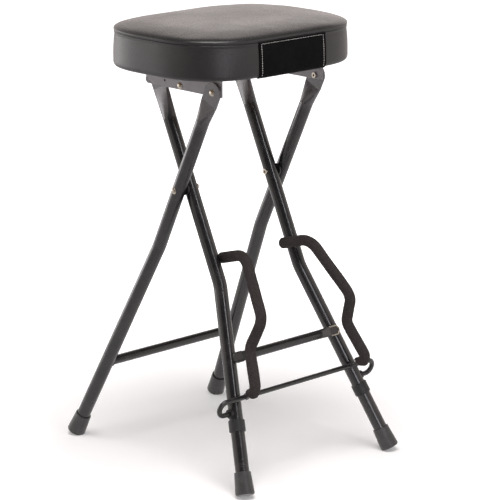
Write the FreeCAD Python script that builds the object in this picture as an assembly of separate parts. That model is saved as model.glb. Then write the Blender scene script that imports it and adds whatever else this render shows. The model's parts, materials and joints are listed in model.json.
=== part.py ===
import FreeCAD
import Part
import math
import os

# Folding guitar stool, in millimetres. +X is right and -Y is the front, as someone facing it sees it,
# +Z is up, and the origin is on the floor midway between the feet.
# Left-hand pieces are modelled at negative X and mirrored to the right.

# Leg tubes
leg_od = 22.0
leg_wall = 1.5
leg_bend_radius = 70.0
leg_gap = 3.3                # between front and rear tubes where they cross
foot_depth = 421.8           # front to rear, between leg axes at the floor
top_pivot_height = 613.0
front_top_y = 73.5
rear_top_y = -83.5
front_upper_x = 87.5         # half distance between the parallel upper front legs
front_foot_x = 164.0
front_bend_height = 301.0
rear_foot_x = 158.9
rear_bend_height = 346.0

# Flattened leg tops
flat_thickness = 4.0
flat_width = 33.0
rear_flat_length = 19.0      # below the pivot
rear_transition = 34.0
front_flat_length = 16.0
front_transition = 52.0

# Crossbars: the front one has flattened ends lapped on the legs
crossbar_od = 15.0
crossbar_wall = 1.2
rear_bar_height = 135.0
front_bar_height = 193.5
lap_thickness = 3.0
lap_width = 16.0
lap_length = 20.0
lap_transition = 24.0
lap_overhang = 3.0           # past the leg's axis

# Rubber feet, square to their legs, with a small flat worn on the floor side
foot_wall = 2.0              # at the mouth
foot_swell = 2.1             # wider at the floor than at the mouth
foot_length = 36.0
foot_sole = 6.0
foot_edge_round = 3.0
foot_flat = 2.6

# Pivots
pivot_shank = 8.0
pivot_head = 11.0
pivot_head_height = 3.0
pivot_tail = 9.0
pivot_tail_height = 2.2
pivot_tail_bore = 4.0
washer_wall = 6.0
spacer_wall = 3.0
fit = 0.06                   # radial clearance of pins, sleeves and seated faces
side_gap = 0.3               # between flat faces that slide past each other

# Seat
seat_width = 362.0
seat_depth = 281.0
seat_corner = 101.0
seat_centre_y = -3.9
seat_over_pivot = 25.6       # underside of the seat above the top pivots
board_thickness = 12.0
board_inset = 7.0
board_clearance = 0.3
seam_height = 54.4           # above the seat's underside
band_hem = 5.0               # the side band turns under at its lower edge
band_hem_height = 7.5
band_waist = 3.0             # and draws in just under the seam
band_waist_drop = 6.0
seam_inset = 1.5
crown_height = 19.3          # above the seam
crown_reach = 115.0          # from the seat's outline to the flat of the crown
crown_steps = 9
patch_width = 144.0
patch_thickness = 1.2
patch_gap = 0.1
patch_margin = 1.0           # above the hem and below the seam

# Seat brackets and fold links
bracket_thickness = 3.0
bracket_below = 6.0          # below the pivots
bracket_front = 16.5         # ahead of the seat pivot
bracket_length = 197.0
bracket_web = 40.0
bracket_bend = 1.5           # inside radius
bracket_cut_angle = 38.0     # lower rear corner
bracket_cut_height = 29.6
jig_hole = 4.0
jig_hole_back = 35.5         # behind the link pivot
jig_hole_up = 4.0
link_width = 13.0
link_thickness = 3.0
screw_head = 9.0
screw_head_height = 2.5
screw_shank = 4.8
screw_length = 13.0
screw_setback = 20.0         # first screw, from the bracket's front edge
screw_spacing = 70.0
screw_setin = 24.5           # from the bracket's outer face
screws_per_side = 3

# Guitar cradle
cradle_pivot_height = 120.0
cradle_wire = 8.0
cradle_crank = 24.0          # from pivot to cross rod
cradle_rest_gap = 0.4        # between rod and legs
loop_reach = 24.3            # straight run of the pivot ends, from the leg axes
grommet_wall = 3.2
grommet_length = 2.5
collar_wall = 1.95
collar_length = 19.0
collar_drop = 22.0           # below the cradle pivot, along the leg
collar_edge = 1.0
foam_wall = 4.9
foam_clearance = 0.1
foam_start = 15.0            # from the cross rod's surface
tip_length = 6.0
arm_foot_inset = 16.0        # arm welds, inside the leg axes at the pivot
arm_low_inset = 9.5
arm_shoulder_inset = 15.8    # inside the upper front leg axes
arm_tip_gap = 0.5            # between the foam and the leg's inner side
# Arm outline beside the leg: distance up the leg from the pivot, and out in front of it
arm_low = (20.0, 50.0)
arm_shelf = (88.0, 46.0)
arm_dip = (124.0, 84.0)
arm_shoulder = (231.2, 58.5)
arm_end = (240.0, 0.0)
arm_radii = (12.0, 20.0, 24.0, 28.0)


def point(x, y, z):
    return FreeCAD.Vector(x, y, z)


def unit(vector):
    return FreeCAD.Vector(vector).normalize()


origin = point(0, 0, 0)
right = point(1, 0, 0)
up = point(0, 0, 1)
diagonal = math.sqrt(0.5)


def at_height(line, height):
    low, high = line
    return low + (high - low) * ((height - low.z) / (high.z - low.z))


def segment(start, end):
    return Part.LineSegment(start, end).toShape()


def arc(start, middle, end):
    return Part.Arc(start, middle, end).toShape()


def rounded_path(points, radii):
    # straight runs joined by tangent arcs
    edges = []
    start = points[0]
    for corner, after, radius in zip(points[1:-1], points[2:], radii):
        back = unit(start - corner)
        ahead = unit(after - corner)
        half_turn = (math.pi - back.getAngle(ahead)) / 2
        reach = radius * math.tan(half_turn)
        middle = corner + unit(back + ahead) * (radius / math.cos(half_turn) - radius)
        edges.append(segment(start, corner + back * reach))
        edges.append(arc(corner + back * reach, middle, corner + ahead * reach))
        start = corner + ahead * reach
    edges.append(segment(start, points[-1]))
    return Part.Wire(edges)


def bar(path, radius):
    first = path.Edges[0]
    start = first.valueAt(first.FirstParameter)
    ring = Part.Wire(Part.makeCircle(radius, start, first.tangentAt(first.FirstParameter)))
    return path.makePipeShell([ring], True, False)


def tube(path, od, wall):
    return bar(path, od / 2).cut(bar(path, od / 2 - wall))


def rod(start, end, radius):
    return Part.makeCylinder(radius, (end - start).Length, start, end - start)


def across(place, x_from, x_to, radius):
    # cylinder along X through a place
    return rod(point(x_from, place.y, place.z), point(x_to, place.y, place.z), radius)


def ring_across(place, x_from, x_to, bore, wall):
    return across(place, x_from, x_to, bore + wall).cut(across(place, x_from, x_to, bore))


def turned(edges, start, axis):
    # half profile of radius against length, turned and laid along an axis
    solid = Part.Face(Part.Wire(edges)).revolve(origin, up, 360)
    solid.Placement = FreeCAD.Placement(start, FreeCAD.Rotation(up, axis))
    return solid


def profile(points):
    places = [point(radius, 0, length) for radius, length in points]
    return [segment(a, b) for a, b in zip(places, places[1:])]


def dome(radius, base, height):
    ball = (radius ** 2 + height ** 2) / (2 * height)
    half = math.asin(radius / ball) / 2
    top = base + height
    shoulder = point(ball * math.sin(half), 0, top - ball * (1 - math.cos(half)))
    return arc(point(radius, 0, base), shoulder, point(0, 0, top))


def rivet(place, head_at, tail_at):
    # domed head outside, hollow set tail inside, both as distances from the middle of the stool
    grip = head_at - tail_at
    shank = pivot_shank / 2
    head = pivot_head / 2
    bore = pivot_tail_bore / 2
    tail = pivot_tail / 2
    end = -pivot_tail_height
    edges = profile([(0, grip + pivot_head_height), (0, 0), (bore, 0), (bore, end), (tail, end), (tail, 0),
                     (shank, 0), (shank, grip), (head, grip)])
    edges.append(dome(head, grip, pivot_head_height))
    return turned(edges, point(-tail_at, place.y, place.z), -right)


def rounded_plate(start, end, wide, thick, width, thickness):
    # flat strip from a round end about start to a square end
    half = wide * (width / 2)
    nose = start - unit(end - start) * (width / 2)
    outline = [segment(start - half, end - half), segment(end - half, end + half),
               segment(end + half, start + half), arc(start + half, nose, start - half)]
    plate = Part.Face(Part.Wire(outline)).extrude(thick * thickness)
    plate.translate(thick * (-thickness / 2))
    return plate


def flat_to_round(flat_at, round_at, wide, thick, width, thickness, od):
    # ruled faces from the flattened end of a tube out to its round part
    signs = [(-1, 1), (1, 1), (1, -1), (-1, -1), (-1, 1)]
    corners = [flat_at + wide * (a * width / 2) + thick * (b * thickness / 2) for a, b in signs]
    rim = [round_at + (wide * a + thick * b) * (diagonal * od / 2) for a, b in signs]
    sides = [round_at + side * (od / 2) for side in (thick, wide, -thick, -wide)]
    circle = Part.Wire([arc(a, middle, b) for a, middle, b in zip(rim, sides, rim[1:])])
    return Part.makeLoft([Part.makePolygon(corners), circle], True, True)


def leg(pivot, bend, end, flat_length, transition):
    down = unit(bend - pivot)
    wide = down.cross(right)
    shoulder = pivot + down * flat_length
    root = shoulder + down * transition
    plate = rounded_plate(pivot, shoulder, wide, right, flat_width, flat_thickness)
    neck = flat_to_round(shoulder, root, wide, right, flat_width, flat_thickness, leg_od)
    stem = tube(rounded_path([root, bend, end], [leg_bend_radius]), leg_od, leg_wall)
    return plate.fuse([neck, stem]).removeSplitter()


def rubber_foot(axis):
    # tapered cup, square to the leg; the floor trims its lowest edge
    rise = unit(axis[1] - axis[0])
    bore = leg_od / 2 + fit
    mouth = bore + foot_wall
    end = mouth + foot_swell
    start = at_height(axis, end * math.sin(rise.getAngle(up)) - foot_flat)
    edge = end - foot_edge_round
    edges = profile([(0, foot_sole), (0, 0), (edge, 0)])
    edges.append(arc(point(edge, 0, 0),
                     point(edge + foot_edge_round * diagonal, 0, foot_edge_round * (1 - diagonal)),
                     point(end, 0, foot_edge_round)))
    edges += profile([(end, foot_edge_round), (mouth, foot_length), (bore, foot_length), (bore, foot_sole),
                      (0, foot_sole)])
    cup = turned(edges, start, rise)
    box = cup.BoundBox
    floor = Part.makeBox(box.XLength, box.YLength, end, point(box.XMin, box.YMin, -end))
    return cup.cut(floor), start + rise * foot_sole


def rounded_rectangle(width, depth, corner, centre_y, height):
    x = width / 2 - corner
    y = depth / 2 - corner
    corners = []
    for turn, (sx, sy) in enumerate(((1, 1), (-1, 1), (-1, -1), (1, -1))):
        centre = point(sx * x, centre_y + sy * y, height)
        places = []
        for step in (0, 1, 2):
            angle = math.radians(90 * turn + 45 * step)
            places.append(centre + point(math.cos(angle), math.sin(angle), 0) * corner)
        corners.append(places)
    edges = []
    for places, after in zip(corners, corners[1:] + corners[:1]):
        edges.append(arc(*places))
        edges.append(segment(places[2], after[0]))
    return Part.Wire(edges)


def seat_outline(inset, height):
    # the corners tighten inwards, but stay round
    width = seat_width - 2 * inset
    depth = seat_depth - 2 * inset
    corner = max(seat_corner - inset, min(width, depth) / 6)
    return rounded_rectangle(width, depth, corner, seat_centre_y, height)


def cushion_form(grow):
    # side band, then a quarter-ellipse crown, as insets from the outline and heights above the underside
    levels = [(band_hem, 0), (0, band_hem_height), (band_waist / 8, seam_height / 2),
              (band_waist, seam_height - band_waist_drop), (seam_inset, seam_height)]
    for step in range(1, crown_steps + 1):
        angle = math.radians(90) * step / crown_steps
        inset = seam_inset + (crown_reach - seam_inset) * (1 - math.cos(angle))
        levels.append((inset, seam_height + crown_height * math.sin(angle)))
    wires = [seat_outline(inset - grow, seat_bottom + height) for inset, height in levels]
    return Part.makeLoft(wires, True, True)


def mirrored(shape):
    return shape.mirror(origin, right)


def largest(shape):
    return max(shape.Solids, key=lambda solid: solid.Volume)


def write(name, solids):
    shape = solids[0] if len(solids) == 1 else Part.makeCompound(solids)
    shape.exportStep(f"parts/{name}.step")


def write_pair(name, left_solid):
    write(f"{name}_left", [left_solid])
    write(f"{name}_right", [mirrored(left_solid)])


os.makedirs("parts", exist_ok=True)

# Layers from the middle outwards: front leg flats, links, brackets, rear leg flats
rear_upper_x = front_upper_x + leg_od + leg_gap
bracket_outer = rear_upper_x - flat_thickness / 2 - side_gap
bracket_inner = bracket_outer - bracket_thickness
link_outer = bracket_inner - side_gap
link_inner = link_outer - link_thickness
seat_bottom = top_pivot_height + seat_over_pivot
shank_hole = pivot_shank / 2 + fit

# Leg axes: each leg bends in the plane of its own frame
front_pivot = point(-front_upper_x, front_top_y, top_pivot_height)
rear_pivot = point(-rear_upper_x, rear_top_y, top_pivot_height)
front_high = (point(-front_upper_x, -foot_depth / 2, 0), front_pivot)
rear_high = (point(-rear_upper_x, foot_depth / 2, 0), rear_pivot)
front_bend = at_height(front_high, front_bend_height)
rear_bend = at_height(rear_high, rear_bend_height)
front_low = (point(-front_foot_x, -foot_depth / 2, 0), front_bend)
rear_low = (point(-rear_foot_x, foot_depth / 2, 0), rear_bend)
frame_up = unit(front_high[1] - front_high[0])
frame_out = right.cross(frame_up)
link_pivot = point(0, (front_top_y + rear_top_y) / 2, top_pivot_height)
cross_height = top_pivot_height * foot_depth / (foot_depth + front_top_y - rear_top_y)
cross = at_height(front_high, cross_height)
cradle_pivot = at_height(front_low, cradle_pivot_height)
front_foot, front_end = rubber_foot(front_low)
rear_foot, rear_end = rubber_foot(rear_low)

# Rear frame
rear_leg = leg(rear_pivot, rear_bend, rear_end, rear_flat_length, rear_transition)
for place in (cross, rear_pivot):
    rear_leg = rear_leg.cut(across(place, -2 * rear_upper_x, 0, shank_hole))
bar_left = at_height(rear_low, rear_bar_height)
bar_path = Part.Wire(segment(bar_left, point(-bar_left.x, bar_left.y, bar_left.z)))
saddle = rod(rear_low[0], rear_low[1], leg_od / 2 + fit)
rear_bar = tube(bar_path, crossbar_od, crossbar_wall).cut(saddle).cut(mirrored(saddle))
write_pair("rear_leg", rear_leg)
write_pair("rear_foot", rear_foot)
write("rear_crossbar", [largest(rear_bar)])

# Pivots where the legs cross, with washers between the tubes, and pivots of the seat on the rear legs
cross_outer = rear_upper_x + leg_od / 2 + fit
cross_inner = front_upper_x - leg_od / 2 - side_gap
washer_outer = rear_upper_x - leg_od / 2 - fit
washer_inner = front_upper_x + leg_od / 2 + side_gap
seat_rivet_head = rear_upper_x + flat_thickness / 2 + fit
write_pair("cross_pivot_rivet", rivet(cross, cross_outer, cross_inner))
write_pair("cross_pivot_washer", ring_across(cross, -washer_outer, -washer_inner, shank_hole, washer_wall))
write_pair("seat_pivot_rivet", rivet(rear_pivot, seat_rivet_head, bracket_inner - side_gap))

# Front frame
wire_hole = cradle_wire / 2 + fit
front_leg = leg(front_pivot, front_bend, front_end, front_flat_length, front_transition)
for place in (cross, front_pivot):
    front_leg = front_leg.cut(across(place, -2 * front_upper_x, 0, shank_hole))
front_leg = front_leg.cut(across(cradle_pivot, cradle_pivot.x - leg_od, cradle_pivot.x, wire_hole))
write_pair("front_leg", front_leg)
write_pair("front_foot", front_foot)

# Front crossbar
lap_leg = at_height(front_low, front_bar_height)
bar_line = lap_leg + frame_out * (leg_od / 2 + fit + lap_thickness / 2)
lap_nose = bar_line - right * (lap_overhang - lap_width / 2)
lap_root = bar_line + right * (lap_length - lap_overhang)
bar_root = lap_root + right * lap_transition
lap = rounded_plate(lap_nose, lap_root, frame_up, frame_out, lap_width, lap_thickness)
lap = lap.fuse(flat_to_round(lap_root, bar_root, frame_up, frame_out, lap_width, lap_thickness, crossbar_od))
bar_path = Part.Wire(segment(bar_root, point(-bar_root.x, bar_root.y, bar_root.z)))
front_bar = tube(bar_path, crossbar_od, crossbar_wall).fuse([lap, mirrored(lap)]).removeSplitter()
write("front_crossbar", [front_bar])

# Top pivots of the front legs, with spacers out to the links
pin_head = front_upper_x - flat_thickness / 2 - fit
spacer_from = front_upper_x + flat_thickness / 2 + fit
pin_end = link_inner - side_gap
pin = across(front_pivot, -pin_end, -pin_head, pivot_shank / 2)
pin = pin.fuse(across(front_pivot, -pin_head, pivot_head_height - pin_head, pivot_head / 2)).removeSplitter()
write_pair("link_pin", pin)
write_pair("link_spacer", ring_across(front_pivot, -pin_end, -spacer_from, shank_hole, spacer_wall))

# Fold links: from the middle of each bracket to the front legs' top pivots, dead straight when open
link_x = -(link_outer + link_inner) / 2
link_ends = [point(link_x, place.y, place.z) for place in (link_pivot, front_pivot)]
link_middle = (link_ends[0] + link_ends[1]) * 0.5
link_halves = [rounded_plate(end, link_middle, up, right, link_width, link_thickness) for end in link_ends]
link = link_halves[0].fuse(link_halves[1]).removeSplitter()
for place in link_ends:
    link = link.cut(across(place, -link_outer, -link_inner, shank_hole))
write_pair("fold_link", link)
write_pair("link_end_rivet", across(front_pivot, -link_outer, -link_inner, pivot_shank / 2))
write_pair("link_pivot_rivet", rivet(link_pivot, bracket_outer + fit, link_inner - side_gap))

# Seat brackets: pressed angles, square in front and cut away at the lower rear corner
bracket_low = top_pivot_height - bracket_below
bracket_start = rear_top_y - bracket_front
bracket_end = bracket_start + bracket_length
web_edge = bracket_outer - bracket_web
web_low = seat_bottom - bracket_thickness
outside = rounded_path([point(-bracket_outer, bracket_start, bracket_low),
                        point(-bracket_outer, bracket_start, seat_bottom),
                        point(-web_edge, bracket_start, seat_bottom)], [bracket_bend + bracket_thickness])
inside = rounded_path([point(-web_edge, bracket_start, web_low),
                       point(-bracket_inner, bracket_start, web_low),
                       point(-bracket_inner, bracket_start, bracket_low)], [bracket_bend])
web_side = segment(point(-web_edge, bracket_start, seat_bottom), point(-web_edge, bracket_start, web_low))
low_side = segment(point(-bracket_inner, bracket_start, bracket_low),
                   point(-bracket_outer, bracket_start, bracket_low))
section = Part.Wire(outside.Edges + [web_side] + inside.Edges + [low_side])
bracket = Part.Face(section).extrude(point(0, bracket_length, 0))
cut_run = bracket_cut_height / math.tan(math.radians(bracket_cut_angle))
cut_corner = point(-bracket_outer, bracket_end, bracket_low)
cut_face = Part.Face(Part.makePolygon([cut_corner, cut_corner - point(0, cut_run, 0),
                                       cut_corner + up * bracket_cut_height, cut_corner]))
bracket = bracket.cut(cut_face.extrude(right * bracket_thickness))
jig_place = link_pivot + point(0, jig_hole_back, jig_hole_up)
for place, radius in ((rear_pivot, shank_hole), (link_pivot, shank_hole), (jig_place, jig_hole / 2)):
    bracket = bracket.cut(across(place, -bracket_outer, -bracket_inner, radius))

# Bracket screws, up into the board
screw_edges = profile([(0, screw_head_height), (0, -screw_length), (screw_shank / 2, -screw_length),
                       (screw_shank / 2, 0), (screw_head / 2, 0)])
screw_edges.append(dome(screw_head / 2, 0, screw_head_height))
screws = []
screw_holes = []
for index in range(screws_per_side):
    screw_y = bracket_start + screw_setback + screw_spacing * index
    start = point(screw_setin - bracket_outer, screw_y, web_low - fit)
    screws.append(turned(screw_edges, start, -up))
    screw_holes.append(rod(start, start + up * (screw_length + fit), screw_shank / 2 + fit))
    bracket = bracket.cut(screw_holes[-1])
write_pair("seat_bracket", bracket)
write("bracket_screws", screws + [mirrored(screw) for screw in screws])

# Seat board, cushion and patch
board = Part.Face(seat_outline(board_inset + board_clearance, seat_bottom)).extrude(up * board_thickness)
pocket = Part.Face(seat_outline(board_inset, seat_bottom)).extrude(up * (board_thickness + board_clearance))
holes = screw_holes + [mirrored(hole) for hole in screw_holes]
board = board.cut(holes)
cushion = cushion_form(0).cut([pocket] + holes)
patch_front = seat_centre_y - seat_depth / 2 - patch_gap - patch_thickness
patch_slab = Part.makeBox(patch_width, seat_corner, seam_height - 2 * patch_margin,
                          point(-patch_width / 2, patch_front, seat_bottom + patch_margin))
patch = cushion_form(patch_gap + patch_thickness).common(patch_slab).cut(cushion_form(patch_gap))
write("seat_board", [largest(board)])
write("seat_cushion", [largest(cushion)])
write("front_patch", [largest(patch)])

# Guitar cradle: one cranked rod pivoted in both front legs, resting on their fronts
rest_out = leg_od / 2 + cradle_rest_gap + cradle_wire / 2
rest_along = math.sqrt(cradle_crank ** 2 - rest_out ** 2)


def beside_leg(x, along, out):
    return point(x, cradle_pivot.y, cradle_pivot.z) + frame_up * along + frame_out * out


loop_x = cradle_pivot.x - loop_reach
loop_nose_x = loop_x - cradle_crank / 2
left_end = [beside_leg(cradle_pivot.x, 0, 0), beside_leg(loop_x, 0, 0),
            beside_leg(loop_nose_x, rest_along / 2, rest_out / 2), beside_leg(loop_x, rest_along, rest_out)]
right_end = [point(-place.x, place.y, place.z) for place in left_end]
rod_path = Part.Wire([segment(left_end[0], left_end[1]), arc(*left_end[1:]),
                      segment(left_end[3], right_end[3]), arc(*right_end[:0:-1]),
                      segment(right_end[1], right_end[0])])
write("cradle_rod", [bar(rod_path, cradle_wire / 2)])

# Cradle arms: a shelf, a dip for the guitar and a turned-up end that lies beside the leg when stowed
foam_radius = cradle_wire / 2 + foam_clearance + foam_wall
arm_low_x = cradle_pivot.x + arm_low_inset
tip_x = -front_upper_x + leg_od / 2 + foam_radius + arm_tip_gap
shoulder_x = arm_shoulder_inset - front_upper_x
lean = (shoulder_x - arm_low_x) / (arm_shoulder[0] - arm_low[0])
arm_points = [beside_leg(cradle_pivot.x + arm_foot_inset, rest_along, rest_out)]
for along, out in (arm_low, arm_shelf, arm_dip, arm_shoulder):
    arm_points.append(beside_leg(arm_low_x + lean * (along - arm_low[0]), along, out))
arm_points.append(beside_leg(tip_x, *arm_end))
arm = bar(rounded_path(arm_points, arm_radii), cradle_wire / 2)
arm = arm.cut(rod(left_end[3], right_end[3], cradle_wire / 2 + fit))
foam_from = arm_points[0] + unit(arm_points[1] - arm_points[0]) * (cradle_wire / 2 + foam_start)
foam_path = rounded_path([foam_from] + arm_points[1:], arm_radii)
tip_run = unit(arm_points[-1] - arm_points[-2])
tip_edges = profile([(0, tip_length), (0, 0), (foam_radius, 0)])
tip_edges.append(dome(foam_radius, 0, tip_length))
write_pair("cradle_arm", largest(arm))
write_pair("foam_sleeve", tube(foam_path, 2 * foam_radius, foam_wall))
write_pair("arm_tip", turned(tip_edges, arm_points[-1] + tip_run * fit, tip_run))

# Collars that the cradle rod lands on when it swings down, and washers at its pivots
leg_rise = unit(front_low[1] - front_low[0])
collar_bore = leg_od / 2 + fit
collar_radius = collar_bore + collar_wall
collar_edges = profile([(collar_bore, 0), (collar_radius - collar_edge, 0), (collar_radius, collar_edge),
                        (collar_radius, collar_length - collar_edge),
                        (collar_radius - collar_edge, collar_length), (collar_bore, collar_length),
                        (collar_bore, 0)])
collar_start = cradle_pivot - leg_rise * (collar_drop + collar_length / 2)
write_pair("leg_collar", turned(collar_edges, collar_start, leg_rise))
leg_side = leg_od / 2 / leg_rise.cross(right).Length
grommet_x = cradle_pivot.x - leg_side - fit
grommet = ring_across(cradle_pivot, grommet_x - grommet_length, cradle_pivot.x, wire_hole, grommet_wall)
write_pair("cradle_grommet", largest(grommet.cut(rod(front_low[0], front_low[1], leg_od / 2 + fit))))
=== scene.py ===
import json
from math import acos, atan2, cos, exp, pi, radians, sin, sqrt, tan

import bmesh
import bpy
import numpy as np
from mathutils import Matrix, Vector, noise


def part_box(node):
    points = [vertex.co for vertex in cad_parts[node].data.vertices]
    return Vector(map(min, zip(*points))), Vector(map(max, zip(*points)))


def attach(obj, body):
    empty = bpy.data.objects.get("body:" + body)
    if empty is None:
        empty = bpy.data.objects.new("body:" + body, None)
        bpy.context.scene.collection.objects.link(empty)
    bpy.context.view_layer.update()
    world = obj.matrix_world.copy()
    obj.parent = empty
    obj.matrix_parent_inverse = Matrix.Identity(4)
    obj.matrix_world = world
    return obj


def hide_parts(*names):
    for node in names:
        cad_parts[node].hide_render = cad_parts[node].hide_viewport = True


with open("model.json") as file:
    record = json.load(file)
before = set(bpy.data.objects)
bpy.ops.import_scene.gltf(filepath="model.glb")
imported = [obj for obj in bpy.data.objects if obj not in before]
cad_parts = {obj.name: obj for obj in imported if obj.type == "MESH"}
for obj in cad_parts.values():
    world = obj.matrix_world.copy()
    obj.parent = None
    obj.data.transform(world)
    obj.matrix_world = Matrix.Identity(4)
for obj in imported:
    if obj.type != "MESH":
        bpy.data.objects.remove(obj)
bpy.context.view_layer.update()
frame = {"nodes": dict(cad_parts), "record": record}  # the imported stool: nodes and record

# Lengths are in metres, in the frame of the stool: -Y is the front, where the patch and the cradle are.


# Small helpers for meshes

def makePiece(name, points, faces):
    mesh = bpy.data.meshes.new(name)
    mesh.from_pydata([tuple(p) for p in points], [], faces)
    mesh.validate()
    mesh.polygons.foreach_set("use_smooth", [True] * len(mesh.polygons))
    piece = bpy.data.objects.new(name, mesh)
    bpy.context.scene.collection.objects.link(piece)
    return piece


def upright(piece):
    # all faces outwards
    fixer = bmesh.new()
    fixer.from_mesh(piece.data)
    bmesh.ops.recalc_face_normals(fixer, faces=fixer.faces)
    fixer.to_mesh(piece.data)
    fixer.free()
    return piece


def mount(piece, body, slot):
    piece.data.materials.append(finishes[slot])
    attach(piece, body)
    return piece


def joinParts(parts):
    # several (points, faces) as one list of points and one of faces
    allPoints = []
    allFaces = []
    for points, faces in parts:
        first = len(allPoints)
        allPoints.extend(points)
        allFaces.extend([tuple(first + i for i in face) for face in faces])
    return allPoints, allFaces


def mirrorPart(part):
    points, faces = part
    return [(-p[0], p[1], p[2]) for p in points], [tuple(reversed(face)) for face in faces]


def unit(vector):
    return vector / np.linalg.norm(vector)


def around(count):
    # angles evenly round a circle
    return [2 * pi * step / count for step in range(count)]


def circle(centre, first, second, radius, count):
    return [tuple(centre + radius * (first * cos(angle) + second * sin(angle)))
            for angle in around(count)]


def ringFaces(rings, sides, closed=False):
    # quads between rings of equal count, laid one after another
    faces = []
    for ring in range(rings if closed else rings - 1):
        here = ring * sides
        after = ((ring + 1) % rings) * sides
        for side in range(sides):
            beside = (side + 1) % sides
            faces.append((here + side, here + beside, after + beside, after + side))
    return faces


def carryFrames(line):
    # a side and an up direction carried along a line with no twist
    tangents = np.gradient(line, axis=0)
    tangents /= np.linalg.norm(tangents, axis=1)[:, None]
    start = np.array((0.0, 0.0, 1.0)) if abs(tangents[0][2]) < 0.9 else np.array((1.0, 0.0, 0.0))
    side = np.cross(tangents[0], start)
    sides = []
    for tangent in tangents:
        side = unit(side - tangent * side.dot(tangent))
        sides.append(side)
    sides = np.array(sides)
    return sides, np.cross(tangents, sides)


def sweepWire(line, radius, sides=10):
    # round wire along a line, closed at both ends
    line = np.asarray(line, float)
    points = []
    for centre, across, up in zip(line, *carryFrames(line)):
        points += circle(centre, across, up, radius, sides)
    faces = [tuple(reversed(face)) for face in ringFaces(len(line), sides)]
    faces.append(tuple(range(sides)))
    faces.append(tuple(reversed(range(len(points) - sides, len(points)))))
    return points, faces


weldForm = {
    "uneven": 0.22,  # slow change of the bead's size round the joint
    "unevenScale": 4,
    "ripple": 0.08,  # and its even ripples
    "standOff": 0.15,  # share of the radius that it stands out of the corner
    "columns": 72,
    "sides": 10,
}


def weldBead(bar, post, radius, seed):
    # rippled fillet where a round bar runs into a round post; each is (place, direction, radius)
    place, run, barRadius = (np.asarray(value, float) for value in bar)
    axisPlace, axis, postRadius = (np.asarray(value, float) for value in post)
    run = unit(run)
    axis = unit(axis)
    first = unit(np.cross(run, axis))
    second = np.cross(run, first)
    slope = run - axis * run.dot(axis)
    count = weldForm["columns"]
    scale = weldForm["unevenScale"]
    points = []
    for turn in around(count):
        outward = first * cos(turn) + second * sin(turn)
        start = place + outward * barRadius - axisPlace
        start = start - axis * start.dot(axis)
        steep = slope.dot(slope)
        lean = start.dot(slope)
        gap = start.dot(start) - postRadius ** 2
        reach = (-lean + sqrt(max(0.0, lean * lean - steep * gap))) / steep
        side = unit(outward + unit(start + slope * reach))
        rise = np.cross(unit(np.cross(side, run)), side)
        uneven = noise.noise(Vector((cos(turn) * scale + seed, sin(turn) * scale, seed * 0.7)))
        ripple = cos(turn * round(count / 4))
        size = radius * (1 + weldForm["uneven"] * uneven + weldForm["ripple"] * ripple)
        centre = place + outward * barRadius + run * reach + side * radius * weldForm["standOff"]
        points += circle(centre, side, rise, size, weldForm["sides"])
    return points, ringFaces(count, weldForm["sides"], closed=True)


def placeAimed(name, data, place, target):
    holder = bpy.data.objects.new(name, data)
    holder.location = place
    holder.rotation_mode = "QUATERNION"
    holder.rotation_quaternion = (Vector(target) - Vector(place)).to_track_quat("-Z", "Y")
    bpy.context.scene.collection.objects.link(holder)
    return holder


# Camera, at the photograph's viewing angle

view = {
    "target": (0.0236, -0.0223, 0.32775),
    "azimuth": -43.386,
    "elevation": 14.747,
    "distance": 3.8263,
    "lens": 170.0,
    "sensor": 36.0,
    "farthest": 60.0,
}


def makeCamera():
    azimuth = radians(view["azimuth"])
    elevation = radians(view["elevation"])
    back = Vector((sin(azimuth) * cos(elevation), -cos(azimuth) * cos(elevation),
                   sin(elevation)))
    lens = bpy.data.cameras.new("photoCamera")
    lens.lens = view["lens"]
    lens.sensor_width = view["sensor"]
    lens.clip_end = view["farthest"]
    place = Vector(view["target"]) + back * view["distance"]
    bpy.context.scene.camera = placeAimed("photoCamera", lens, place, view["target"])


makeCamera()
print("camera placed")


# Node helpers

def addNode(tree, kind, values=None, **settings):
    node = tree.nodes.new("ShaderNode" + kind)
    for name, value in settings.items():
        setattr(node, name, value)
    for name, value in (values or {}).items():
        if isinstance(value, bpy.types.NodeSocket):
            tree.links.new(value, node.inputs[name])
        else:
            node.inputs[name].default_value = value
    return node


def mathNode(tree, operation, first, second, clamp=False):
    node = addNode(tree, "Math", {0: first, 1: second}, operation=operation, use_clamp=clamp)
    return node.outputs[0]


def vectorNode(tree, operation, first, second):
    return addNode(tree, "VectorMath", {0: first, 1: second}, operation=operation).outputs


def mapRange(tree, value, low, high, toLow=0.0, toHigh=1.0):
    ends = {"From Min": low, "From Max": high, "To Min": toLow, "To Max": toHigh}
    return addNode(tree, "MapRange", {"Value": value, **ends}).outputs[0]


def mixColour(tree, share, first, second):
    return addNode(tree, "Mix", {0: share, 6: first, 7: second}, data_type="RGBA").outputs[2]


def softNoise(tree, place, scale, detail, roughness=0.5):
    values = {"Vector": place, "Scale": scale, "Detail": detail, "Roughness": roughness}
    return addNode(tree, "TexNoise", values).outputs


def objectPlace(tree):
    return addNode(tree, "TexCoord").outputs["Object"]


def upPart(tree, vector):
    return addNode(tree, "SeparateXYZ", {0: vector}).outputs["Z"]


# Effects that several finishes share

def makeGroup(name, inputs, outputs):
    group = bpy.data.node_groups.new(name, "ShaderNodeTree")
    for label in inputs:
        group.interface.new_socket(label, in_out="INPUT", socket_type="NodeSocketFloat")
    for label in outputs:
        group.interface.new_socket(label, in_out="OUTPUT", socket_type="NodeSocketFloat")
    given = group.nodes.new("NodeGroupInput").outputs
    result = group.nodes.new("NodeGroupOutput").inputs
    return group, given, result, objectPlace(group)


def useGroup(tree, group, values):
    node = addNode(tree, "Group", node_tree=group)
    for socket, value in zip(node.inputs, values):
        socket.default_value = value
    return node.outputs


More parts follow.
